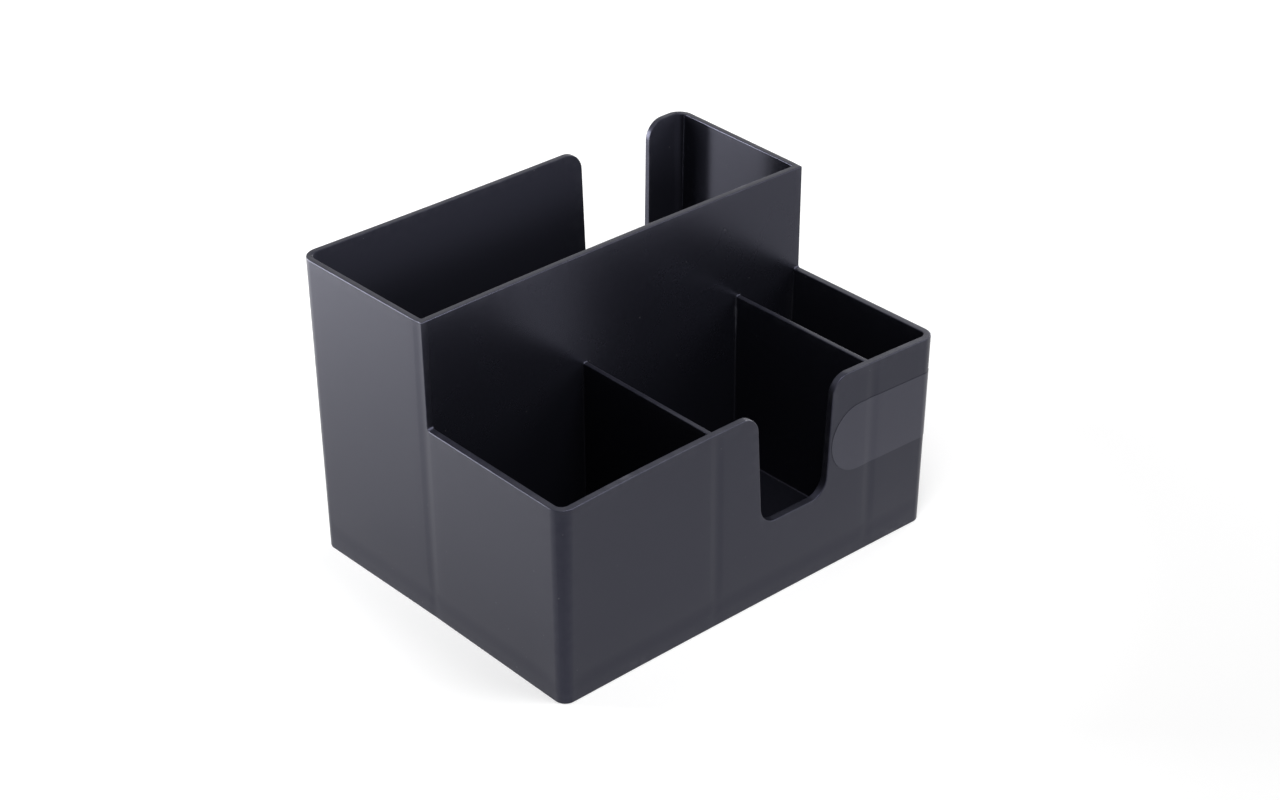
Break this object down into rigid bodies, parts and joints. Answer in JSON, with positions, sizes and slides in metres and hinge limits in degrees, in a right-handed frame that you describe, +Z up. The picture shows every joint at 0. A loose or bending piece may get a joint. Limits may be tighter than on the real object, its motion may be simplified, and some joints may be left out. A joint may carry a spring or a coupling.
{
  "type": "condiment caddy",
  "caption": "Open-topped table caddy: a tall napkin bin behind a low row of divided compartments, with finger openings in the front and rear walls and a label round a front corner.",
  "frame": {"origin": "middle of the bounding box's underside, on the table under the middle of the caddy", "axes": "+Z up, +X to the right along the front, +Y from the low front towards the tall napkin bin"},
  "size_m": [0.18, 0.138, 0.12],
  "materials": {
    "body_plastic": "fine even mould texture",
    "label_film": "smooth satin film"
  },
  "bodies": {
    "root": {"caddy_body": "body_plastic", "wrap_label": "label_film"}
  },
  "joints": []
}
